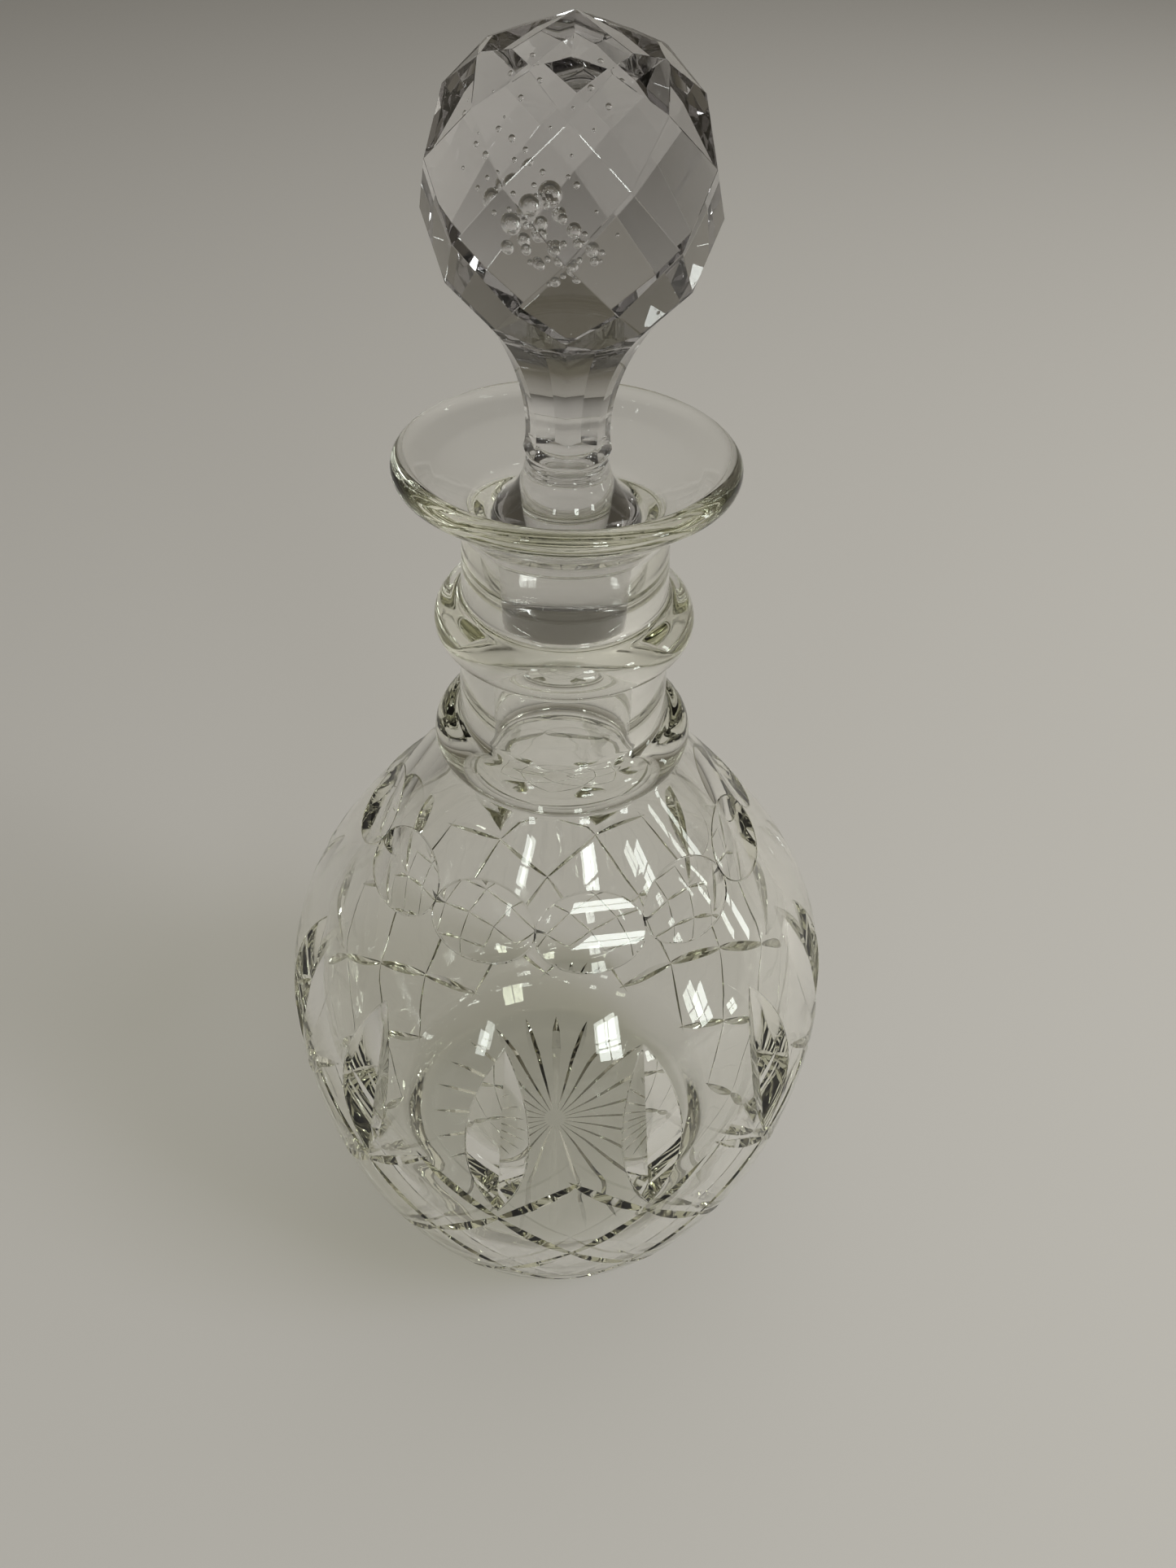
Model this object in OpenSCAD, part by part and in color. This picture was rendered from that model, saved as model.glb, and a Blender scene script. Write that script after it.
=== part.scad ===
// Cut crystal decanter with a faceted ball stopper.
// A free-blown, thick-walled globe bottle with two applied neck rings, wheel-cut
// decoration and a solid lapidary-cut stopper. Millimetres, +Z up. The origin is
// the centre of the flat base, on the surface the decanter stands on; -Y is the front.

/* [Bottle body] */
// Largest outside radius of the globe
belly_r = 61.8; // [58:0.2:64]
// Height of the widest line above the base
belly_z = 73; // [70:0.5:76]
// Thickness of the glass around the globe
wall = 6.5; // [6:0.25:8]
// Thickness of the glass floor
floor_t = 11; // [9:0.5:13]

/* [Neck and lip] */
// Outside radius of the neck just under the lip
neck_top_r = 18.5; // [18.2:0.1:19]
// Outside radius of the neck where it meets the shoulder
neck_foot_r = 20.7; // [20:0.1:21.5]
// Outside radius of the flared lip
lip_r = 30; // [28:0.5:32]
// Height of the lip's rounded rim above the base
rim_z = 204.4; // [203.5:0.1:205.5]

/* [Neck rings] */
// Height of the upper ring
upper_ring_z = 173.8; // [172:0.2:176]
// Height of the lower ring
lower_ring_z = 147.4; // [147:0.2:150]
// Radius of the round section of each ring
ring_t = 4.8; // [4:0.1:5]

/* [Cutting] */
// Number of oval thumb cuts round the shoulder
n_prints = 11; // [9:1:11]
// Depth of each thumb cut
print_depth = 1.2; // [0.8:0.1:1.5]
// Number of upright leaf cuts round the belly
n_leaves = 12; // [8:1:12]
// Number of rays in the star under the base
n_rays = 24; // [16:4:32]

/* [Stopper] */
// Radius of the ball through the corners of its facets
ball_r = 23; // [22:0.1:23.5]
// Height of the centre of the ball above the base
ball_z = 247.4; // [246.5:0.1:248]
// Least distance from the stem's axis to its flat sides
stem_a = 6.55; // [6.4:0.05:6.8]
// Radius of the plug at its shoulder
plug_r = 13.3; // [13:0.05:13.5]
// Radial clearance between the plug and the bore
clearance = 0.05; // [0.03:0.01:0.09]
// Turn of the stopper about its axis
stopper_turn = -2; // [-22:1:22]

/* [Show] */
// Piece to draw

/* [Hidden] */
$fn = 96;
eps = 0.01;
// Tangent arcs lap by this much, so that they cross instead of only touching
lap = 0.03;
glass = [0.86, 0.90, 0.87, 0.45];
glass_ring = [0.80, 0.86, 0.82, 0.55];
glass_grey = [0.66, 0.65, 0.67, 0.6];

// Outside arcs of the body, as [r of centre, z of centre, radius]
low_rho = 145.7;
low_c = belly_r - low_rho;
// Slope angle at which the globe runs out into the flatter shoulder
sh_a = 33.4;
sh_rho = 233;
sh_c = (belly_r - sh_rho) * cos(sh_a);
sh_cz = belly_z + (belly_r - sh_rho) * sin(sh_a);
sh_z = belly_z + belly_r * sin(sh_a);
foot_t = 2.5;
foot_c = low_c + sqrt(pow(low_rho - foot_t, 2) - pow(belly_z - foot_t, 2));
foot_z = belly_z - low_rho * (belly_z - foot_t) / (low_rho - foot_t);

// Inside arcs
in_r = belly_r - wall;
in_rho = low_rho - wall - 0.3;
sh_in_z = belly_z + in_r * sin(sh_a);
corner = 16;
corner_z = floor_t + corner;
corner_c = low_c + sqrt(pow(in_rho - corner, 2) - pow(belly_z - corner_z, 2));
corner_join = belly_z - in_rho * (belly_z - corner_z) / (in_rho - corner);

// Neck and plug heights
neck_top = 193.6;
neck_foot = 139;
plug_top = 195;
plug_end = 174.4;
plug_taper = 0.6;
// Height of the narrowest part of the stem
waist_z = 210;
mouth_r = plug_r + clearance;
plug_end_r = plug_r - plug_taper;
mouth_z = 195;
rim_t = 2.2;

// Radius of the outside of the body at height z
function body_r(z) = z > sh_z ? sh_c + sqrt(sh_rho * sh_rho - pow(z - sh_cz, 2))
                   : z > belly_z ? sqrt(belly_r * belly_r - pow(z - belly_z, 2))
                   : low_c + sqrt(low_rho * low_rho - pow(z - belly_z, 2));

// Band of a half plane between two heights
module band(z0, z1, r = 80) translate([0, z0]) square([r, z1 - z0]);

module arc_band(c, cz, rho, z0, z1) intersection() {
    translate([c, cz]) circle(r = rho, $fn = 360);
    band(z0, z1);
}

module neck_profile()
    polygon([[0, neck_foot], [neck_foot_r + 0.25, neck_foot], [neck_top_r, neck_top], [0, neck_top]]);

module body_outline() {
    arc_band(sh_c - lap, sh_cz, sh_rho, sh_z, 146);
    arc_band(0, belly_z, belly_r, belly_z - 12, sh_z + 12);
    arc_band(low_c, belly_z, low_rho, foot_z, belly_z);
    intersection() {
        translate([foot_c + lap, foot_t]) circle(r = foot_t);
        band(0, foot_z + 1);
    }
    band(0, foot_z + 4, foot_c + lap);
}

// Lip: a flared saucer with a rolled edge
module lip_outline() {
    difference() {
        union() {
            polygon([[0, 190], [neck_top_r - 0.13, 190], [neck_top_r, neck_top], [lip_r - 2.4, rim_z - 2.2],
                     [lip_r - rim_t, rim_z + rim_t], [0, rim_z + rim_t]]);
            translate([lip_r - rim_t, rim_z]) circle(r = rim_t);
        }
        polygon([[0, mouth_z], [mouth_r + 0.9, mouth_z], [18.5, 198.6], [23, 202.2],
                 [lip_r - 3.4, rim_z + rim_t - 0.35], [lip_r - 2.9, rim_z + rim_t + 1], [0, rim_z + rim_t + 1]]);
    }
}

module cavity_outline() {
    arc_band(sh_c - lap, sh_cz, sh_rho - wall, sh_in_z, 141.6);
    arc_band(0, belly_z, in_r, belly_z - 12, sh_in_z + 12);
    arc_band(low_c + 0.3, belly_z, in_rho, corner_join, belly_z);
    intersection() {
        translate([corner_c + 0.3 + lap, corner_z]) circle(r = corner);
        band(floor_t, corner_join + 3);
    }
    band(floor_t, corner_join + 4, corner_c + 0.3 + lap);
    // throat of the neck, then the ground seat that takes the plug
    polygon([[0, 138], [14.4, 138], [14.4, 141], [13.1, 152], [plug_end_r - 0.35, 170],
             [plug_end_r + clearance, 173], [mouth_r, mouth_z + eps], [0, mouth_z + eps]]);
    polygon([[0, mouth_z - 1.2], [mouth_r - 0.04, mouth_z - 1.2], [mouth_r + 0.9, mouth_z + 0.01], [0, mouth_z + 0.01]]);
}

// Straight V groove between two points [turn, z] on the body, its root sunk by d
module vee(a, b, d, half) {
    ra = body_r(a[1]) - d;
    rb = body_r(b[1]) - d;
    p = [ra * sin(a[0]), -ra * cos(a[0]), a[1]];
    q = [rb * sin(b[0]), -rb * cos(b[0]), b[1]];
    v = q - p;
    len = norm(v);
    m = (a[0] + b[0]) / 2;
    zm = (a[1] + b[1]) / 2;
    tilt = asin(v[2] / len);
    // direction of the groove in the horizontal plane, and its roll to face out of the glass
    dir = atan2(v[1], v[0]);
    out = [sin(m), -cos(m), (body_r(zm - 1) - body_r(zm + 1)) / 2];
    side = [-sin(dir), cos(dir), 0];
    up = [-cos(dir) * sin(tilt), -sin(dir) * sin(tilt), cos(tilt)];
    roll = atan2(-(out * side), out * up);
    translate((p + q) / 2)
        rotate([0, 0, dir]) rotate([0, -tilt, 0]) rotate([roll, 0, 0])
            rotate([90, 0, 90]) linear_extrude(height = len + 5, center = true)
                polygon([[0, 0], [12 * tan(half), 12], [-12 * tan(half), 12]]);
}

module prints() {
    z = 126;
    r = body_r(z);
    n = [r - sh_c, z - sh_cz] / sh_rho;
    c = 29 - print_depth;
    for (i = [0 : n_prints - 1])
        rotate([0, 0, 9.6 + i * 360 / n_prints])
            translate([0, -(r + n[0] * c), z + n[1] * c])
                rotate([0, 90, 0]) cylinder(r = 29, h = 30, center = true, $fn = 120);
}

leaf_turn = -11;
leaf_step = 360 / n_leaves;

module leaves()
    for (i = [0 : n_leaves - 1])
        vee([leaf_turn + i * leaf_step, 107], [leaf_turn + i * leaf_step, 65], 0, 62);

// Crossing mitre cuts that make the diamonds below the leaves: one row of them,
// from height za on the leaves' lines to height zb half a step to one side
module mitres(za, zb, side)
    for (i = [0 : n_leaves - 1])
        vee([leaf_turn + i * leaf_step, za], [leaf_turn + (i + side / 2) * leaf_step, zb], 0.35, 52);

// Every second ray of the star, starting with ray k
module base_star(k)
    for (i = [k : 2 : n_rays - 1])
        rotate([0, 0, i * 360 / n_rays])
            translate([0, -21, -0.3]) rotate([90, 0, 0])
                linear_extrude(height = 28, center = true) polygon([[-1.6, 0], [1.6, 0], [0, 1.5]]);

module vessel() color(glass) difference() {
    rotate_extrude($fn = 180) difference() {
        union() {
            body_outline();
            neck_profile();
            lip_outline();
        }
        cavity_outline();
    }
    prints();
    leaves();
    mitres(62, 77, 1);
    mitres(62, 77, -1);
    mitres(62, 45, 1);
    mitres(62, 45, -1);
    mitres(28, 45, 1);
    mitres(28, 45, -1);
    base_star(0);
    base_star(1);
}

// An applied ring: a round trail of glass laid against the neck
module neck_ring(z) color(glass_ring) rotate_extrude($fn = 180) difference() {
    rn = neck_top_r + (neck_foot_r + 0.25 - neck_top_r) * (neck_top - z) / (neck_top - neck_foot);
    translate([rn, z]) circle(r = ring_t);
    neck_profile();
    // the lower ring also rests on the top of the shoulder
    arc_band(sh_c - lap, sh_cz, sh_rho, sh_z, 146);
}

module upper_neck_ring() neck_ring(upper_ring_z);

module lower_neck_ring() neck_ring(lower_ring_z);

// Everything beyond a flat facet whose normal points up by lat, d out from the ball's centre
module facets(lat, turn, d)
    for (i = [0 : 7])
        rotate([0, 0, turn + i * 45]) rotate([-lat, 0, 0])
            translate([-30, -d - 40, -30]) cube([60, 40, 60]);

// Side of one hollow flute: a wide wheel above its waist, a small one where it runs out below
module flute_outline() {
    intersection() {
        translate([30.5 + stem_a, waist_z]) circle(r = 30.5, $fn = 180);
        translate([0, waist_z]) square([34, 29]);
    }
    translate([12 - lap + stem_a, waist_z]) circle(r = 12);
}

// Plug and stem: a round blank with eight hollow flutes cut down it
module stem() difference() {
    rotate_extrude($fn = 120) {
        polygon([[0, plug_end], [plug_end_r - 2.2, plug_end], [plug_end_r - 0.9, plug_end + 0.6],
                 [plug_end_r, plug_end + 2], [plug_r, plug_top - 0.6], [plug_r - 0.5, plug_top], [0, plug_top]]);
        difference() {
            translate([0, plug_top - 1]) square([plug_r - 0.5, 12]);
            translate([20.05, 206.5]) circle(r = 13);
        }
        polygon([[0, 205.4], [7, 205.4], [7.3, 206.3], [16, 215], [16, 232], [0, 232]]);
    }
    for (i = [0 : 7])
        rotate([0, 0, -67.5 + i * 45]) rotate([90, 0, 0])
            linear_extrude(height = 30, center = true) flute_outline();
}

// The ball: rows of flat facets, eight to a row, each row turned half a step
module ball() translate([0, 0, ball_z]) difference() {
    sphere(r = ball_r + 0.8, $fn = 96);
    facets(71.5, 22.5, 0.953 * ball_r);
    facets(50.2, 0, 0.9694 * ball_r);
    facets(33.6, 22.5, 0.9478 * ball_r);
    facets(14.2, 0, 0.9285 * ball_r);
    facets(-7.3, 22.5, 0.9252 * ball_r);
    facets(-27.45, 0, 0.9406 * ball_r);
    facets(-45.1, 22.5, 0.9636 * ball_r);
}

module stopper() color(glass_grey) rotate([0, 0, stopper_turn]) {
    stem();
    ball();
}

vessel();
upper_neck_ring();
lower_neck_ring();
stopper();
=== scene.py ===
import random
from math import asin, atan2, cos, degrees, hypot, pi, radians, sin, sqrt, tan

import bmesh
import bpy
import numpy as np
from mathutils import Matrix, Vector


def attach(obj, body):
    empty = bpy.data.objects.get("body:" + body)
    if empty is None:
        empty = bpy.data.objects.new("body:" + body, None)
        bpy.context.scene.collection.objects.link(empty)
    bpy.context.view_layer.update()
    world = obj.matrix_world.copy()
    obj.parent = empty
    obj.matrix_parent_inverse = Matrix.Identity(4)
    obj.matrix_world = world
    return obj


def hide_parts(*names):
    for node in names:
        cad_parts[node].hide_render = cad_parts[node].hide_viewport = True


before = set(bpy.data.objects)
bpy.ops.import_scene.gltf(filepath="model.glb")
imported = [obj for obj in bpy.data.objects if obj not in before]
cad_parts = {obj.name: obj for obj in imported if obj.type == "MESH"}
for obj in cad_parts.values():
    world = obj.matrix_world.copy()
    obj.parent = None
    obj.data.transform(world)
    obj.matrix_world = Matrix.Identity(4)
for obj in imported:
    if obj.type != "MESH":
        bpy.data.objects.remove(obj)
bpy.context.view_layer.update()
MM = 0.001
scene = bpy.context.scene
random.seed(7)


def sph(az, el, d):
    """Point at azimuth az (0 towards the camera side, + to its right), elevation el and distance d."""
    flat = d * cos(radians(el))
    return Vector((flat * sin(radians(az)), -flat * cos(radians(az)), d * sin(radians(el))))


# ---------------------------------------------------------------- camera
PITCH, YAW, ROLL = radians(41.44), radians(1.65), radians(2.15)
SENSOR = 36.0
FOCAL_HEIGHTS = 1520 / 1927  # focal length over the picture's height
fwd = Vector((sin(YAW) * cos(PITCH), cos(YAW) * cos(PITCH), -sin(PITCH)))
right = Vector((cos(YAW), -sin(YAW), 0))
up = Vector((sin(YAW) * sin(PITCH), cos(YAW) * sin(PITCH), cos(PITCH)))
right, up = cos(ROLL) * right + sin(ROLL) * up, cos(ROLL) * up - sin(ROLL) * right
cam_data = bpy.data.cameras.new("camera")
cam_data.sensor_fit = "VERTICAL"
cam_data.sensor_height = SENSOR
cam_data.lens = SENSOR * FOCAL_HEIGHTS
cam_data.clip_start = 0.005
cam = bpy.data.objects.new("camera", cam_data)
scene.collection.objects.link(cam)
m = Matrix((right, up, -fwd)).transposed().to_4x4()
m.translation = Vector((0, -0.1946, 0.3027))
cam.matrix_world = m
scene.camera = cam


# ---------------------------------------------------------------- mesh helpers
def arc(c, r, a0, a1, step=3.0):
    """Points on a circle round c (mm), from angle a0 to a1 in degrees."""
    n = max(2, int(abs(a1 - a0) / step) + 1)
    turns = [radians(a0 + (a1 - a0) * i / n) for i in range(n + 1)]
    return [(c[0] + r * cos(t), c[1] + r * sin(t)) for t in turns]


def ang(c, p):
    """Direction from c to p in degrees."""
    return degrees(atan2(p[1] - c[1], p[0] - c[0]))


def circles_meet(c1, r1, c2, r2):
    """The two crossings of two circles, the one with the larger radius first."""
    dx, dy = c2[0] - c1[0], c2[1] - c1[1]
    d = hypot(dx, dy)
    a = (r1 * r1 - r2 * r2 + d * d) / (2 * d)
    h = sqrt(max(r1 * r1 - a * a, 0))
    m_ = (c1[0] + a * dx / d, c1[1] + a * dy / d)
    out = [(m_[0] + h * dy / d, m_[1] - h * dx / d), (m_[0] - h * dy / d, m_[1] + h * dx / d)]
    return sorted(out, key=lambda p: -p[0])


def soften(pts, radii):
    """Rounds the corners of a polyline: radii has one radius for each inner point."""
    out = [pts[0]]
    for i in range(1, len(pts) - 1):
        p, a, b, r = Vector(pts[i]), Vector(pts[i - 1]), Vector(pts[i + 1]), radii[i - 1]
        u, v = (a - p).normalized(), (b - p).normalized()
        half = u.angle(v) / 2
        if r <= 0 or half > radians(89.5):
            out.append(tuple(p))
            continue
        t = min(r / tan(half), 0.48 * (a - p).length, 0.48 * (b - p).length)
        r = t * tan(half)
        c = p + (u + v).normalized() * (r / sin(half))
        s, e = p + u * t, p + v * t
        a0, a1 = ang(c, s), ang(c, e)
        if a1 - a0 > 180:
            a1 -= 360
        if a1 - a0 < -180:
            a1 += 360
        out += arc(c, r, a0, a1, 9 if r < 1.2 else 5)
    return out + [pts[-1]]


def tidy(pts, least=0.02):
    """Leaves out points that are closer than least to the one before."""
    out = [pts[0]]
    for p in pts[1:]:
        if hypot(p[0] - out[-1][0], p[1] - out[-1][1]) > least:
            out.append(p)
    return out


def revolve(name, pts, n):
    """A closed solid of revolution about Z from a profile that runs from axis to axis, glass on its left."""
    mesh = bpy.data.meshes.new(name)
    verts, faces = [], []
    for r, z in pts[1:-1]:
        for k in range(n):
            t = 2 * pi * k / n
            verts.append((r * sin(t) * MM, -r * cos(t) * MM, z * MM))
    rows = len(pts) - 2
    bottom, top = len(verts), len(verts) + 1
    verts += [(0, 0, pts[0][1] * MM), (0, 0, pts[-1][1] * MM)]
    for k in range(n):
        j = (k + 1) % n
        faces.append((bottom, j, k))
        faces.append((top, (rows - 1) * n + k, (rows - 1) * n + j))
    for i in range(rows - 1):
        for k in range(n):
            j = (k + 1) % n
            faces.append((i * n + k, i * n + j, (i + 1) * n + j, (i + 1) * n + k))
    mesh.from_pydata(verts, [], faces)
    mesh.validate()
    ob = bpy.data.objects.new(name, mesh)
    scene.collection.objects.link(ob)
    return ob


def solid(name, parts, kind):
    """One mesh from several closed (verts in mm, faces) parts, every face marked with kind."""
    verts, faces = [], []
    for vs, fs in parts:
        b = len(verts)
        verts += [tuple(c * MM for c in v) for v in vs]
        faces += [tuple(b + i for i in f) for f in fs]
    mesh = bpy.data.meshes.new(name)
    mesh.from_pydata(verts, [], faces)
    bm = bmesh.new()
    bm.from_mesh(mesh)
    bmesh.ops.recalc_face_normals(bm, faces=bm.faces)
    bm.to_mesh(mesh)
    bm.free()
    ob = bpy.data.objects.new(name, mesh)
    scene.collection.objects.link(ob)
    mark(ob, kind)
    return ob


def mark(ob, kind):
    """Gives every face a kind, kept in its material index until shade() uses it."""
    for _ in range(4 - len(ob.data.materials)):
        ob.data.materials.append(None)
    ob.data.polygons.foreach_set("material_index", [kind] * len(ob.data.polygons))


def boolean(target, tool, how="DIFFERENCE"):
    """Cuts the tool from the target, or joins it on, and deletes the tool."""
    mod = target.modifiers.new("cut", "BOOLEAN")
    mod.operation = how
    mod.object = tool
    mod.solver = "MANIFOLD"
    mod.material_mode = "INDEX"
    deps = bpy.context.evaluated_depsgraph_get()
    new = bpy.data.meshes.new_from_object(
        target.evaluated_get(deps), preserve_all_data_layers=True, depsgraph=deps
    )
    target.modifiers.clear()
    old = target.data
    if len(new.polygons) == 0:
        raise RuntimeError("boolean left nothing: " + tool.name)
    target.data = new
    bpy.data.meshes.remove(old)
    gone = tool.data
    bpy.data.objects.remove(tool)
    bpy.data.meshes.remove(gone)


def profile_normals(pts):
    """Outward normal at every profile point, glass on the left of the line."""
    p = np.array(pts)
    d = np.diff(p, axis=0)
    ln = np.linalg.norm(d, axis=1, keepdims=True)
    n = np.stack([d[:, 1], -d[:, 0]], 1) / ln
    out = np.zeros_like(p)
    w = 1 / np.maximum(ln, 1e-6)
    out[:-1] += n * w
    out[1:] += n * w
    return out / np.linalg.norm(out, axis=1, keepdims=True)


def near_profile(pts, nrm, rz):
    """Normal in the half plane at each (r, z), from the nearest place on the profile."""
    p = np.array(pts)
    a, b = p[:-1], p[1:]
    d = b - a
    l2 = (d**2).sum(1)
    res = np.zeros((len(rz), 2))
    for s in range(0, len(rz), 20000):
        q = rz[s : s + 20000]
        t = ((q[:, None, :] - a[None]) * d[None]).sum(-1) / l2[None]
        t = np.clip(t, 0, 1)
        e = a[None] + t[..., None] * d[None] - q[:, None, :]
        i = (e**2).sum(-1).argmin(1)
        k = np.arange(len(q))
        tt = t[k, i][:, None]
        res[s : s + 20000] = nrm[i] * (1 - tt) + nrm[i + 1] * tt
    return res / np.linalg.norm(res, axis=1, keepdims=True)


def shade(ob, pts, curved):
    """Sets the corner normals: kind 0 follows the profile, kind 1 is flat, from kind 2 up curved() says."""
    me = ob.data
    nl, npoly = len(me.loops), len(me.polygons)
    co = np.zeros(len(me.vertices) * 3)
    me.vertices.foreach_get("co", co)
    co = co.reshape(-1, 3) / MM
    vi = np.zeros(nl, int)
    me.loops.foreach_get("vertex_index", vi)
    kind = np.zeros(npoly, int)
    me.polygons.foreach_get("material_index", kind)
    tot = np.zeros(npoly, int)
    me.polygons.foreach_get("loop_total", tot)
    fn = np.zeros(npoly * 3)
    me.polygons.foreach_get("normal", fn)
    fn = np.repeat(fn.reshape(-1, 3), tot, axis=0)
    lk = np.repeat(kind, tot)
    pts_l = co[vi]
    out = fn.copy()
    sel = lk == 0
    q = pts_l[sel]
    r = np.hypot(q[:, 0], q[:, 1])
    n2 = near_profile(pts, profile_normals(pts), np.stack([r, q[:, 2]], 1))
    rr = np.maximum(r, 1e-6)
    out[sel] = np.stack([n2[:, 0] * q[:, 0] / rr, n2[:, 0] * q[:, 1] / rr, n2[:, 1]], 1)
    sel = lk >= 2
    fc = np.zeros(npoly * 3)
    me.polygons.foreach_get("center", fc)
    fc = np.repeat(fc.reshape(-1, 3) / MM, tot, axis=0)
    out[sel] = curved(pts_l[sel], fn[sel], fc[sel], lk[sel])
    # a sliver's own normal can be unsound: never shade a corner from behind
    bad = (out * fn).sum(1) < 0.2
    out[bad] = fn[bad]
    attr = me.attributes.new("cut", "FLOAT", "FACE")
    attr.data.foreach_set("value", (kind > 0).astype(float))
    me.polygons.foreach_set("material_index", [0] * npoly)
    me.polygons.foreach_set("use_smooth", [True] * npoly)
    me.normals_split_custom_set(out.tolist())
    me.update()


# ---------------------------------------------------------------- bottle
belly_r, belly_z, wall, floor_t = 61.78, 73.0, 6.48, 11.0
low_rho = 145.7
low_c = belly_r - low_rho
sh_a = radians(33.4)
sh_rho = 233.0
sh_c = (belly_r - sh_rho) * cos(sh_a)
sh_cz = belly_z + (belly_r - sh_rho) * sin(sh_a)
sh_z = belly_z + belly_r * sin(sh_a)
foot_t = 2.5
foot_c = low_c + sqrt((low_rho - foot_t) ** 2 - (belly_z - foot_t) ** 2)
in_r = belly_r - wall
in_rho = low_rho - wall - 0.3
corner = 16.0
corner_z = floor_t + corner
corner_c = low_c + sqrt((in_rho - corner) ** 2 - (belly_z - corner_z) ** 2)
neck_top_r, neck_foot_r, neck_top, neck_foot = 18.5, 20.95, 193.6, 139.0
ring_t = 4.8
ring_foot = 0.9  # hollow where the lower ring meets the shoulder
mouth_r = 13.35


def neck_r(z):
    return neck_top_r + (neck_foot_r - neck_top_r) * (neck_top - z) / (neck_top - neck_foot)


def body_r(z):
    if z > sh_z:
        return sh_c + sqrt(sh_rho**2 - (z - sh_cz) ** 2)
    if z > belly_z:
        return sqrt(belly_r**2 - (z - belly_z) ** 2)
    return low_c + sqrt(low_rho**2 - (z - belly_z) ** 2)


def neck_fillet(zc, f, above):
    """Centre of the hollow of radius f between the ring at zc and the neck line."""
    c = (neck_r(zc), zc)
    z = zc
    for _ in range(30):
        x = neck_r(z) + f
        z = zc + (1 if above else -1) * sqrt((ring_t + f) ** 2 - (x - c[0]) ** 2)
    return (x, z)


low_ring, up_ring = 147.4, 173.8
lc, uc = (neck_r(low_ring), low_ring), (neck_r(up_ring), up_ring)
fa = circles_meet((sh_c, sh_cz), sh_rho + ring_foot, lc, ring_t + ring_foot)[0]
f_neck = 2.2
fb = neck_fillet(low_ring, f_neck, True)
fc_ = neck_fillet(up_ring, f_neck, False)
fd = neck_fillet(up_ring, f_neck, True)

outer = [(0, 0), (10, 0), (20, 0), (30, 0), (foot_c, 0)]
t_foot = ang((low_c, belly_z), (foot_c, foot_t))
outer += arc((foot_c, foot_t), foot_t, -90, t_foot, 8)
outer += arc((low_c, belly_z), low_rho, t_foot, 0, 0.6)
outer += arc((0, belly_z), belly_r, 0, degrees(sh_a), 1.5)
a_sh = ang((sh_c, sh_cz), fa)
outer += arc((sh_c, sh_cz), sh_rho, degrees(sh_a), a_sh, 0.4)
outer += arc(fa, ring_foot, a_sh + 180, ang(fa, lc) % 360, 12)
outer += arc(lc, ring_t, ang(lc, fa), ang(lc, fb), 5)
outer += arc(fb, f_neck, ang(fb, lc) % 360, 180, 10)
outer += arc(fc_, f_neck, 180, ang(fc_, uc), 10)
outer += arc(uc, ring_t, ang(uc, fc_), ang(uc, fd), 5)
outer += arc(fd, f_neck, ang(fd, uc) % 360, 180, 10)
# lip: flare, rolled rim, saucer, then the ground seat and the throat
rim = (27.8, 204.4)
lip = soften(
    [(neck_r(fd[1] + 1), fd[1] + 1), (18.45, 193.8), (23.2, 197.9), (27.9, 201.9)],
    [3.5, 12.0],
)
lip += arc(rim, 2.2, -62, 118, 8)
lip += soften(
    [
        (26.2, 205.9), (23.2, 202.4), (18.3, 198.7), (14.3, 195.2), (mouth_r - 0.04, 193.6),
        (12.75, 173), (12.35, 170), (13.1, 152), (14.4, 141.8),
    ],
    [6.0, 14.0, 2.5, 1.0, 2.0, 8.0, 20.0],
)
outer += lip
in_top = 139.5
a_top = degrees(asin((in_top - sh_cz) / (sh_rho - wall)))
inner = arc((sh_c, sh_cz), sh_rho - wall, a_top, degrees(sh_a), 0.5)
inner += arc((0, belly_z), in_r, degrees(sh_a), 0, 2)
a_c = ang((low_c + 0.3, belly_z), (corner_c + 0.3, corner_z))
inner += arc((low_c + 0.3, belly_z), in_rho, 0, a_c, 0.8)
inner += arc((corner_c + 0.3, corner_z), corner, a_c, -90, 4)
inner += [(20, floor_t), (10, floor_t), (0, floor_t)]
bottle_pts = tidy(outer + inner)
SEG = 244
bottle = revolve("crystal_bottle", bottle_pts, SEG)
mark(bottle, 0)


def vee(a, b, d, half, reach=6.0):
    """A V-shaped prism whose edge runs between two places [turn, z] on the body, sunk by d."""
    ra, rb = body_r(a[1]) - d, body_r(b[1]) - d
    p = Vector((ra * sin(radians(a[0])), -ra * cos(radians(a[0])), a[1]))
    q = Vector((rb * sin(radians(b[0])), -rb * cos(radians(b[0])), b[1]))
    mid = radians((a[0] + b[0]) / 2)
    zm = (a[1] + b[1]) / 2
    out = Vector((sin(mid), -cos(mid), (body_r(zm - 1) - body_r(zm + 1)) / 2))
    ax = (q - p).normalized()
    out = (out - ax * out.dot(ax)).normalized()
    side = ax.cross(out)
    w = reach * tan(radians(half))
    vs = []
    for e in (p - ax * 2.5, q + ax * 2.5):
        vs += [e, e + out * reach + side * w, e + out * reach - side * w]
    return [tuple(v) for v in vs], [(0, 1, 2), (3, 5, 4), (0, 3, 4, 1), (1, 4, 5, 2), (2, 5, 3, 0)]


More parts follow.
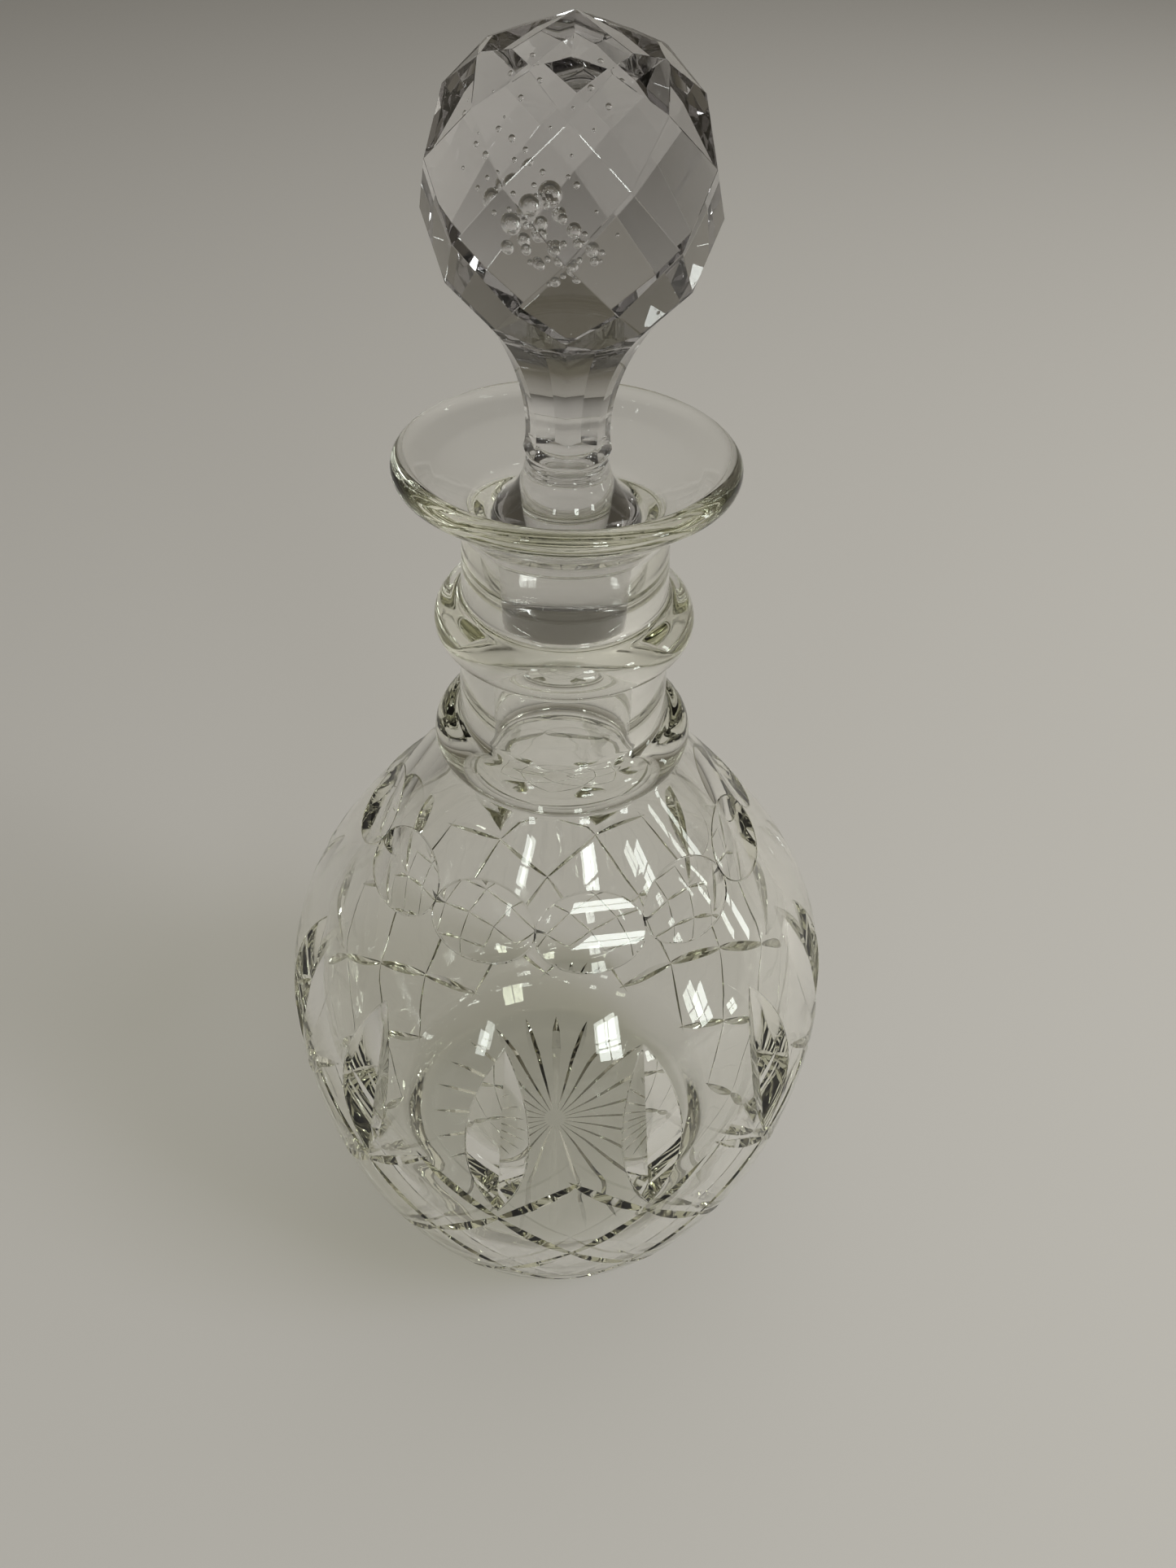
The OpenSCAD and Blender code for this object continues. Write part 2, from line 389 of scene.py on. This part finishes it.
def ray_cut(turn):
    """One ray of the star: a boat-shaped V, deepest two thirds of the way out."""
    t = radians(turn)
    e, s = Vector((sin(t), -cos(t), 0)), Vector((cos(t), sin(t), 0))
    vs = []
    for r, d in ((3.0, 0.08), (12.0, 0.42), (25.0, 0.85), (32.0, 0.72), (38.0, 0.03)):
        h = (d + 0.3) * 1.6
        below = Vector((0, 0, 0.3))
        vs += [e * r + Vector((0, 0, d)), e * r + s * h - below, e * r - s * h - below]
    fs = [(0, 1, 2), (12, 14, 13)]
    for i in range(0, 12, 3):
        for a, b in ((0, 1), (1, 2), (2, 0)):
            fs.append((i + a, i + b, i + 3 + b, i + 3 + a))
    return [tuple(v) for v in vs], fs


PRINTS, PRINT_Z, PRINT_R, PRINT_D = 11, 126.0, 29.0, 1.2
print_turns = [9.6 + i * 360 / PRINTS for i in range(PRINTS)]
pr = body_r(PRINT_Z)
pn = ((pr - sh_c) / sh_rho, (PRINT_Z - sh_cz) / sh_rho)
print_axis = (pr + pn[0] * (PRINT_R - PRINT_D), PRINT_Z + pn[1] * (PRINT_R - PRINT_D))


def print_cut(turn):
    """A wheel laid across the shoulder; its rim is divided lengthwise so that no cut face is a long strip."""
    t = radians(turn)
    e, s = Vector((sin(t), -cos(t), 0)), Vector((cos(t), sin(t), 0))
    n, cuts, vs, fs = 200, 11, [], []
    for k in range(n):
        a = 2 * pi * k / n
        c = e * (print_axis[0] + PRINT_R * cos(a)) + Vector((0, 0, print_axis[1] + PRINT_R * sin(a)))
        vs += [tuple(c + s * (28 * i / (cuts - 1) - 14)) for i in range(cuts)]
    for k in range(n):
        j = (k + 1) % n
        for i in range(cuts - 1):
            fs.append((cuts * k + i, cuts * j + i, cuts * j + i + 1, cuts * k + i + 1))
    fs += [tuple(cuts * k for k in range(n)), tuple(cuts * k + cuts - 1 for k in reversed(range(n)))]
    return vs, fs


for group in ([0, 2, 4, 6, 8], [1, 3, 5, 7, 9], [10]):
    boolean(bottle, solid("prints", [print_cut(print_turns[i]) for i in group], 2))
LEAVES, LEAF_TURN, LEAF_TOP, LEAF_END, LEAF_HALF = 12, -11.0, 107, 65, 62
MITRE_D, MITRE_HALF = 0.35, 52
step = 360 / LEAVES
leaf_turns = [LEAF_TURN + i * step for i in range(LEAVES)]
boolean(bottle, solid("leaves", [vee((a, LEAF_TOP), (a, LEAF_END), 0, LEAF_HALF) for a in leaf_turns], 1))
for za, zb in ((62, 77), (62, 45), (28, 45), (28, 13)):
    for side in (1, -1):
        rows = [vee((a, za), (a + side / 2 * step, zb), MITRE_D, MITRE_HALF) for a in leaf_turns]
        boolean(bottle, solid("mitres", rows, 1))
for k in (0, 1):
    boolean(bottle, solid("star", [ray_cut(i * 15) for i in range(k, 24, 2)], 1))


def worn(path, r, closed):
    """A thin six-sided tube along a path of places in mm: cut away, it takes the sharpness off an edge."""
    n, vs, fs = len(path), [], []
    for k, p in enumerate(path):
        t = (path[(k + 1) % n] if closed or k < n - 1 else p) - (path[k - 1] if closed or k else p)
        u = t.cross(Vector((p.x, p.y, 0))).normalized()
        w = u.cross(t.normalized())
        vs += [tuple(p + (u * cos(pi * i / 3) + w * sin(pi * i / 3)) * r) for i in range(6)]
    for k in range(n if closed else n - 1):
        for i in range(6):
            j, o = (i + 1) % 6, (k + 1) % n * 6
            fs.append((6 * k + i, 6 * k + j, o + j, o + i))
    if not closed:
        fs += [tuple(range(6)), tuple(6 * n - 1 - i for i in range(6))]
    return vs, fs


def root(f, a, b):
    """Where f changes sign between a, where it is positive, and b."""
    for _ in range(40):
        c = (a + b) / 2
        a, b = (c, b) if f(c) > 0 else (a, c)
    return a


def print_edge(turn):
    """The oval outline of one print."""
    t = radians(turn)
    e, s = Vector((sin(t), -cos(t), 0)), Vector((cos(t), sin(t), 0))
    a0 = atan2(-pn[1], -pn[0])

    def place(a):
        return print_axis[0] + PRINT_R * cos(a), print_axis[1] + PRINT_R * sin(a)

    def gap(a):
        return body_r(place(a)[1]) - place(a)[0]

    lo, hi = root(gap, a0, a0 - 0.5), root(gap, a0, a0 + 0.5)
    path = []
    for k in range(64):
        w = 2 * pi * k / 64
        r, z = place((lo + hi) / 2 + (hi - lo) / 2 * cos(w))
        side = sqrt(max(body_r(z) ** 2 - r * r, 0))
        path.append(e * r + s * (side if sin(w) > 0 else -side) + Vector((0, 0, z)))
    return path


def leaf_edge(turn, side):
    """One long edge of a leaf: where the flat side of the V meets the body."""

    def at(da, z):
        a = radians(turn + da)
        return Vector((body_r(z) * sin(a), -body_r(z) * cos(a), z))

    p, q = at(0, LEAF_TOP), at(0, LEAF_END)
    ax = (q - p).normalized()
    out = Vector((p.x, p.y, 0)).normalized()
    out = (out - ax * out.dot(ax)).normalized()
    across = ax.cross(out)

    def above(da, z):
        v = at(da, z) - p
        return v.dot(out) * tan(radians(LEAF_HALF)) - abs(v.dot(across))

    mid_z, reach = (LEAF_TOP + LEAF_END) / 2, (LEAF_TOP - LEAF_END) / 2 - 0.4
    zs = [mid_z + reach * cos(pi * k / 28) for k in range(29)]
    return [at(side * root(lambda da: above(side * da, z), 0, 14), z) for z in zs]


boolean(bottle, solid("print_edges", [worn(print_edge(a), 0.2, True) for a in print_turns], 1))
for side in (1, -1):
    boolean(bottle, solid("leaf_edges", [worn(leaf_edge(a, side), 0.16, False) for a in leaf_turns], 1))


def print_normals(q, fn, centre, kind):
    """Corner normals in the prints: towards the axis of the wheel that cut each one."""
    az = np.degrees(np.arctan2(centre[:, 0], -centre[:, 1]))
    turns = np.array(print_turns)
    diff = (az[:, None] - turns[None] + 180) % 360 - 180
    t = np.radians(turns[np.abs(diff).argmin(1)])
    e = np.stack([np.sin(t), -np.cos(t)], 1)
    along = (q[:, :2] * e).sum(1)
    v = np.stack([print_axis[0] - along, print_axis[1] - q[:, 2]], 1)
    v /= np.linalg.norm(v, axis=1, keepdims=True)
    return np.stack([e[:, 0] * v[:, 0], e[:, 1] * v[:, 0], v[:, 1]], 1)


shade(bottle, bottle_pts, print_normals)

# ---------------------------------------------------------------- stopper
BALL_R, BALL_Z, STEM_A, TURN = 23.0, 247.4, 6.55, -2.0
# facet rows, eight facets each: [latitude, turn, distance from the middle over BALL_R]
ROWS = (
    (71.5, 22.5, 0.953), (50.2, 0, 0.9694), (33.6, 22.5, 0.9478), (14.2, 0, 0.9285),
    (-7.3, 22.5, 0.9252), (-27.45, 0, 0.9406), (-45.1, 22.5, 0.9636),
)


def polytope(planes):
    """The solid inside every plane (unit normal, distance from the middle); face k lies on plane k."""
    dual = bmesh.new()
    for n, d in planes:
        dual.verts.new(n / d)
    dual.verts.index_update()
    bmesh.ops.convex_hull(dual, input=dual.verts[:])
    bmesh.ops.triangulate(dual, faces=dual.faces[:])
    corners, rings = [], [set() for _ in planes]
    for f in dual.faces:
        trio = [v.index for v in f.verts]
        mat = Matrix([planes[i][0] for i in trio])
        if abs(mat.determinant()) < 1e-9:
            continue
        c = mat.inverted() @ Vector([planes[i][1] for i in trio])
        near = [k for k, o in enumerate(corners) if (o - c).length < 0.004]
        if not near:
            near = [len(corners)]
            corners.append(c)
        for i in trio:
            rings[i].add(near[0])
    dual.free()
    faces = []
    for (n, d), ring in zip(planes, rings):
        if len(ring) < 3:
            faces.append(())
            continue
        mid = sum((corners[k] for k in ring), Vector()) / len(ring)
        a = (corners[min(ring)] - mid).normalized()
        b = n.cross(a)
        turns = {k: atan2((corners[k] - mid).dot(b), (corners[k] - mid).dot(a)) for k in ring}
        faces.append(tuple(sorted(ring, key=turns.get)))
    return corners, faces


BALL_CUT = 19.5  # the ball ends this far below its middle, inside the stem
WORN = 0.07
planes = [(sph(turn + i * 45 + TURN, lat, 1), dist * BALL_R) for lat, turn, dist in ROWS for i in range(8)]
planes.append((Vector((0, 0, -1)), BALL_CUT))
corners, faces = polytope(planes)
# real facets meet in a narrow worn edge
edges = {}
for k, f in enumerate(faces):
    for i in range(len(f)):
        edges.setdefault(tuple(sorted((f[i], f[i - 1]))), []).append(k)
for (i, j), pair in edges.items():
    if len(pair) == 2 and (corners[i] - corners[j]).length > 0.6:
        n = (planes[pair[0]][0] + planes[pair[1]][0]).normalized()
        bend = planes[pair[0]][0].angle(planes[pair[1]][0])
        planes.append((n, (corners[i] + corners[j]).dot(n) / 2 - WORN * tan(bend / 2)))
corners, faces = polytope(planes)
me = bpy.data.meshes.new("ball")
me.from_pydata([(c + Vector((0, 0, BALL_Z))) * MM for c in corners], [], [f for f in faces if f])
ball = bpy.data.objects.new("ball", me)
scene.collection.objects.link(ball)
mark(ball, 1)

PLUG_R, PLUG_END = 13.3, 174.4
WAIST, WHEEL, RUN_OUT = 210.0, 30.5, 12.0  # waist height, wheel above it and below it
stem_pts = tidy(
    soften(
        [(0, PLUG_END), (12.2, PLUG_END), (12.7, 176.0), (PLUG_R, 194.2), (12.95, 195.0), (12.6, 195.9)],
        [1.2, 0.8, 0.6, 0.8],
    )
    + arc((20.05, 206.5), 13, 234, 182, 3)
    + [(7.35, 206.6), (16, 215.5), (16, 231), (0, 231.5)]
)
stem = revolve("crystal_stopper", stem_pts, 192)
mark(stem, 0)


def flute(i):
    """A hollow cutter: a wide wheel above the waist of the stem, a small one below it."""
    t = radians(22.5 + i * 45 + TURN)
    e, s = Vector((sin(t), -cos(t), 0)), Vector((cos(t), sin(t), 0))
    above, below = np.radians(np.arange(0, 72.1, 1.5)), np.radians(np.arange(90, 0.1, -3))
    side = [(34, WAIST - RUN_OUT)]
    side += [(STEM_A + RUN_OUT - RUN_OUT * cos(a), WAIST - RUN_OUT * sin(a)) for a in below]
    side += [(STEM_A + WHEEL - WHEEL * cos(a), WAIST + WHEEL * sin(a)) for a in above]
    side += [(34, side[-1][1])]
    n, vs, fs = len(side), [], []
    for r, z in side:
        c = e * r + Vector((0, 0, z))
        vs += [tuple(c - s * 15), tuple(c + s * 15)]
    for k in range(n):
        j = (k + 1) % n
        fs.append((2 * k, 2 * j, 2 * j + 1, 2 * k + 1))
    fs += [tuple(2 * k for k in range(n)), tuple(2 * k + 1 for k in reversed(range(n)))]
    return vs, fs


for i in range(8):
    boolean(stem, solid("flute", [flute(i)], 2))


def flute_normals(q, fn):
    """Corner normals in the flutes: a face's own normal says which flute it lies in."""
    az = np.degrees(np.arctan2(fn[:, 0], -fn[:, 1]))
    turns = np.array([22.5 + i * 45 + TURN for i in range(8)])
    diff = (az[:, None] - turns[None] + 180) % 360 - 180
    t = np.radians(turns[np.abs(diff).argmin(1)])
    e = np.stack([np.sin(t), -np.cos(t)], 1)
    along = (q[:, :2] * e).sum(1)
    wheel = np.where(q[:, 2] > WAIST, WHEEL, RUN_OUT)
    v = np.stack([wheel + STEM_A - along, WAIST - q[:, 2]], 1)
    v /= np.linalg.norm(v, axis=1, keepdims=True)
    return np.stack([e[:, 0] * v[:, 0], e[:, 1] * v[:, 0], v[:, 1]], 1)


boolean(stem, ball, "UNION")
# seeds: air bubbles caught in the middle of the ball, as [across, up, radius] facing the front, in mm
SEEDS = (
    (-2.9, -0.6, 1.8), (-5.8, -2.7, 1.6), (-6.5, -5.0, 1.05), (-4.2, -5.4, 1.05), (-1.6, -3.0, 1.05),
    (0.5, -5.7, 1.1), (-1.1, -4.8, 0.75), (-2.2, -7.7, 0.9), (-4.1, -7.1, 0.85), (1.0, -7.4, 0.75),
    (-2.2, -9.4, 0.75), (-7.8, 5.0, 0.45), (-5.7, 4.2, 0.55), (-5.2, 1.9, 0.4), (-3.9, 2.0, 0.45),
    (-8.1, -0.8, 0.4), (-9.9, 3.0, 0.3), (-0.3, 3.4, 0.35), (0.9, 1.3, 0.5), (2.0, -6.2, 0.45),
    (-3.0, -6.2, 0.45), (-1.0, -8.4, 0.5), (3.7, -1.9, 0.3), (-3.4, -2.4, 0.5), (-4.4, 9.2, 0.45),
    (2.7, 8.1, 0.5), (-6.8, 7.0, 0.2), (0.2, 6.1, 0.25), (-4.9, -1.2, 0.35), (1.8, -7.0, 0.3),
)
AIR = 3  # kind of the bubbles' faces
seed_c = []
bm = bmesh.new()
bm.from_mesh(stem.data)
for x, y, r in SEEDS:
    c = Vector((0, 0, BALL_Z)) + right * x + up * y + fwd * random.uniform(-2.5, 2.5)
    seed_c.append(c)
    made = bmesh.ops.create_icosphere(bm, subdivisions=3, radius=r * MM, matrix=Matrix.Translation(c * MM))
    for f in {f for v in made["verts"] for f in v.link_faces}:
        f.normal_flip()
        f.material_index = AIR
bm.to_mesh(stem.data)
bm.free()


def stopper_normals(q, fn, centre, kind):
    """Corner normals in the flutes and on the bubbles, which face their own middles."""
    out = flute_normals(q, fn)
    air = kind == AIR
    cs = np.array([tuple(c) for c in seed_c])
    near = cs[((centre[air][:, None] - cs[None]) ** 2).sum(-1).argmin(1)]
    v = near - q[air]
    out[air] = v / np.linalg.norm(v, axis=1, keepdims=True)
    return out


shade(stem, stem_pts, stopper_normals)


# ---------------------------------------------------------------- materials
def glass(name, tint, ior, absorb, density, wave, rough):
    """Clear glass: absorb and density tint it, wave is the blown skin's ripple, rough its wear."""
    mat = bpy.data.materials.new(name)
    mat.use_nodes = True
    nt = mat.node_tree
    nt.nodes.clear()
    out = nt.nodes.new("ShaderNodeOutputMaterial")
    p = nt.nodes.new("ShaderNodeBsdfPrincipled")
    p.inputs["Base Color"].default_value = tint
    p.inputs["Transmission Weight"].default_value = 1.0
    p.inputs["IOR"].default_value = ior
    geo = nt.nodes.new("ShaderNodeTexCoord")
    # hand-blown skin: long soft waves, none on the polished cuts
    noise = nt.nodes.new("ShaderNodeTexNoise")
    noise.inputs["Scale"].default_value = 55.0
    noise.inputs["Detail"].default_value = 1.0
    nt.links.new(geo.outputs["Object"], noise.inputs["Vector"])
    cut = nt.nodes.new("ShaderNodeAttribute")
    cut.attribute_name = "cut"
    inv = nt.nodes.new("ShaderNodeMapRange")
    inv.inputs["To Min"].default_value = wave
    inv.inputs["To Max"].default_value = wave * 0.12
    nt.links.new(cut.outputs["Fac"], inv.inputs["Value"])
    bump = nt.nodes.new("ShaderNodeBump")
    bump.inputs["Distance"].default_value = 0.0006
    nt.links.new(inv.outputs["Result"], bump.inputs["Strength"])
    nt.links.new(noise.outputs["Fac"], bump.inputs["Height"])
    nt.links.new(bump.outputs["Normal"], p.inputs["Normal"])
    # faint wear: roughness wanders a little over the surface
    fine = nt.nodes.new("ShaderNodeTexNoise")
    fine.inputs["Scale"].default_value = 140.0
    fine.inputs["Detail"].default_value = 4.0
    nt.links.new(geo.outputs["Object"], fine.inputs["Vector"])
    rr = nt.nodes.new("ShaderNodeMapRange")
    rr.inputs["From Min"].default_value = 0.45
    rr.inputs["From Max"].default_value = 0.8
    rr.inputs["To Min"].default_value = 0.0
    rr.inputs["To Max"].default_value = rough
    nt.links.new(fine.outputs["Fac"], rr.inputs["Value"])
    nt.links.new(rr.outputs["Result"], p.inputs["Roughness"])
    # lamps light what is behind the glass through a clear shadow
    clear = nt.nodes.new("ShaderNodeBsdfTransparent")
    clear.inputs["Color"].default_value = (0.93, 0.93, 0.92, 1)
    path = nt.nodes.new("ShaderNodeLightPath")
    mix = nt.nodes.new("ShaderNodeMixShader")
    nt.links.new(path.outputs["Is Shadow Ray"], mix.inputs["Fac"])
    nt.links.new(p.outputs["BSDF"], mix.inputs[1])
    nt.links.new(clear.outputs["BSDF"], mix.inputs[2])
    nt.links.new(mix.outputs["Shader"], out.inputs["Surface"])
    vol = nt.nodes.new("ShaderNodeVolumeAbsorption")
    vol.inputs["Color"].default_value = absorb
    vol.inputs["Density"].default_value = density
    nt.links.new(vol.outputs["Volume"], out.inputs["Volume"])
    return mat


crystal = glass("crystal", (1, 1, 0.995, 1), 1.53, (0.965, 0.965, 0.90, 1), 28.0, 0.25, 0.02)
smoky = glass("stopper_crystal", (1, 1, 1, 1), 1.55, (0.71, 0.70, 0.71, 1), 26.0, 0.0, 0.015)
for ob, mat, body, slot, nodes in (
    (bottle, crystal, "decanter", "crystal", ("vessel", "upper_neck_ring", "lower_neck_ring")),
    (stem, smoky, "stopper", "stopper_crystal", ("stopper",)),
):
    ob.data.materials.clear()
    ob.data.materials.append(mat)
    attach(ob, body)
    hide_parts(*nodes)

# ---------------------------------------------------------------- floor, light
FLOOR, FLOOR_Z = 4.0, -0.0002
floor_mesh = bpy.data.meshes.new("floor")
floor_corners = [(x * FLOOR, y * FLOOR, FLOOR_Z) for x, y in ((-1, -1), (1, -1), (1, 1), (-1, 1))]
floor_mesh.from_pydata(floor_corners, [], [(0, 1, 2, 3)])
floor = bpy.data.objects.new("floor", floor_mesh)
scene.collection.objects.link(floor)
fm = bpy.data.materials.new("floor")
fm.use_nodes = True
fp = fm.node_tree.nodes["Principled BSDF"]
fp.inputs["Base Color"].default_value = (0.58, 0.56, 0.53, 1)
fp.inputs["Roughness"].default_value = 0.9
fp.inputs["Specular IOR Level"].default_value = 0.2
floor_mesh.materials.append(fm)

world = bpy.data.worlds.new("room")
scene.world = world
world.use_nodes = True
wt = world.node_tree
bg = wt.nodes["Background"]
tc = wt.nodes.new("ShaderNodeTexCoord")
sep = wt.nodes.new("ShaderNodeSeparateXYZ")
ramp = wt.nodes.new("ShaderNodeValToRGB")
wt.links.new(tc.outputs["Generated"], sep.inputs[0])
mr = wt.nodes.new("ShaderNodeMapRange")
mr.inputs["From Min"].default_value = -1
wt.links.new(sep.outputs["Z"], mr.inputs["Value"])
wt.links.new(mr.outputs["Result"], ramp.inputs["Fac"])
el = ramp.color_ramp.elements
el[0].position, el[0].color = 0.5, (0.26, 0.245, 0.21, 1)
mid = el.new(0.62)
mid.color = (0.12, 0.108, 0.08, 1)
el[2].position, el[2].color = 1.0, (0.06, 0.057, 0.048, 1)
wt.links.new(ramp.outputs["Color"], bg.inputs["Color"])
bg.inputs["Strength"].default_value = 1.0


def lamp(name, at, size, power, colour, seen):
    """A rectangular area light facing the decanter; seen says whether the glass shows it."""
    ld = bpy.data.lights.new(name, "AREA")
    ld.shape = "RECTANGLE"
    ld.size, ld.size_y = size
    ld.energy = power
    ld.color = colour
    lo = bpy.data.objects.new(name, ld)
    scene.collection.objects.link(lo)
    lo.location = at
    lo.rotation_euler = (Vector((0, 0, 0.12)) - at).to_track_quat("-Z", "Y").to_euler()
    lo.visible_camera = False
    lo.visible_glossy = lo.visible_transmission = seen
    return lo


def window(name, az, el_, wide, high, radiance, cols=2, rows=2):
    """A window seen from the decanter at az, el and wide x high degrees across: one small lamp a pane."""
    d, bar = 2.0, 0.10
    pw, ph = radians(wide) * d / cols, radians(high) * d / rows
    c = sph(az, el_, d)
    rot = (Vector((0, 0, 0.12)) - c).to_track_quat("-Z", "Y")
    for i in range(cols):
        for j in range(rows):
            w, h = pw * (1 - bar), ph * (1 - bar)
            lo = lamp(name, c, (w, h), radiance * pi * w * h, (0.93, 1.0, 0.95), True)
            lo.location = c + rot @ Vector(((i + 0.5 - cols / 2) * pw, (j + 0.5 - rows / 2) * ph, 0))
            lo.rotation_euler = rot.to_euler()


window("window_low", 21, 15, 9, 8, 13)
window("window_high", 23, 39, 7.5, 8.5, 13)
window("window_left_low", -29, 13, 4, 6.5, 8, 1)
window("window_left_high", -27, 40, 4.5, 7.5, 9, 1)
window("window_right_low", 61, 9, 6, 6.5, 11)
window("window_right_high", 60, 31, 6, 8, 11)
window("window_side", 94, 14, 3.2, 24, 8, 1, 4)
lamp("key", sph(70, 46, 2.6), (0.9, 0.9), 44, (1.0, 0.985, 0.95), False)
lamp("fill", sph(150, 70, 2.6), (2.0, 2.0), 10, (0.97, 0.98, 1.0), False)

scene.cycles.max_bounces = 24
scene.cycles.transmission_bounces = 24
scene.cycles.glossy_bounces = 12
scene.cycles.caustics_refractive = False
scene.cycles.caustics_reflective = False
scene.view_settings.view_transform = "Standard"
